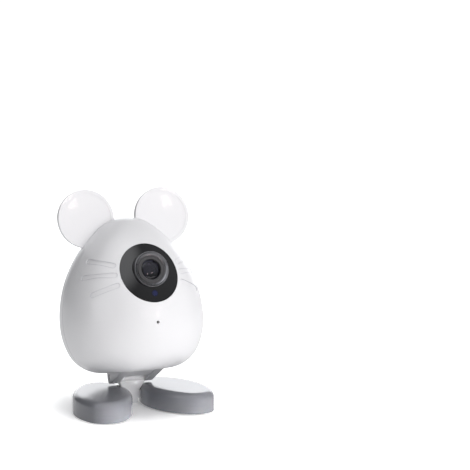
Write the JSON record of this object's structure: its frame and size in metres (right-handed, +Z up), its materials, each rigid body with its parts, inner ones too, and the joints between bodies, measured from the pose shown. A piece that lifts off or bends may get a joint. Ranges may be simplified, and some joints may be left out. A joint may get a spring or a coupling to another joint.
{
  "type": "pet camera",
  "caption": "Mouse-shaped pet camera: a white egg with round dished ears and a black lens disc, tilting on a friction hinge between oval grey feet.",
  "frame": {"origin": "on the ground, under the middle of the whole camera's outline", "axes": "the face looks along -Y, +X is to the right as seen from the front, +Z is up"},
  "size_m": [0.076, 0.0764, 0.1147],
  "materials": {
    "shell_white": "fine satin gloss, white",
    "bezel_black": "polished black",
    "ring_black": "satin black",
    "barrel_black": "fine matt black",
    "lens_glass": "coated glass",
    "foot_grey": "fine satin, mid grey",
    "bracket_grey": "fine satin, mid grey",
    "post_grey": "fine satin, light grey",
    "pad_rubber": "matt rubber",
    "boot_rubber": "matt rubber",
    "gasket_foam": "closed cell foam",
    "board_green": "lacquered glass fibre board",
    "board_black": "black lacquered board",
    "chip_black": "moulded chip body",
    "sensor_glass": "sensor under glass",
    "led_clear": "clear moulded resin",
    "pipe_clear": "clear moulded plastic",
    "socket_steel": "bright tinned steel",
    "pin_steel": "ground steel",
    "screw_steel": "zinc plated steel",
    "washer_white": "low friction plastic",
    "speaker_black": "black speaker basket and cone",
    "button_grey": "fine satin, mid grey"
  },
  "bodies": {
    "stand": {"stand_post": "post_grey", "left_foot": "foot_grey", "left_foot_base": "foot_grey", "left_foot_pad": "pad_rubber", "right_foot": "foot_grey", "right_foot_base": "foot_grey", "right_foot_pad": "pad_rubber", "foot_screws": "screw_steel"},
    "head": {"front_shell": "shell_white", "rear_shell": "shell_white", "left_ear": "shell_white", "right_ear": "shell_white", "lens_bezel": "bezel_black", "lens_trim_ring": "ring_black", "lens_barrel": "barrel_black", "front_lens": "lens_glass", "inner_lens": "lens_glass", "lens_holder": "chip_black", "image_sensor": "sensor_glass", "main_board": "board_green", "radio_shield": "socket_steel", "ir_board": "board_black", "ir_leds": "led_clear", "light_pipe": "pipe_clear", "mic_boot": "boot_rubber", "microphone": "socket_steel", "speaker_gasket": "gasket_foam", "speaker": "speaker_black", "connector_board": "board_green", "power_socket": "socket_steel", "card_socket": "socket_steel", "reset_switch": "chip_black", "tilt_bracket": "bracket_grey", "hinge_pin": "pin_steel", "friction_washers": "washer_white", "bracket_screws": "screw_steel", "shell_screws": "screw_steel", "board_screws": "screw_steel", "connector_screws": "screw_steel"},
    "reset_button": {"reset_button": "button_grey"}
  },
  "joints": [
    {"name": "head_tilt", "type": "hinge", "parent": "stand", "child": "head", "pos_m": [0, 0.0026, 0.0154], "axis": [-1, 0, 0], "range_deg": [-23, 14]},
    {"name": "reset_button_press", "type": "slide", "parent": "head", "child": "reset_button", "axis": [0, -0.9816, 0.1908], "range_m": [0, 0.0004], "stiffness_N_per_m": 1500, "springref_m": -0.0005}
  ]
}
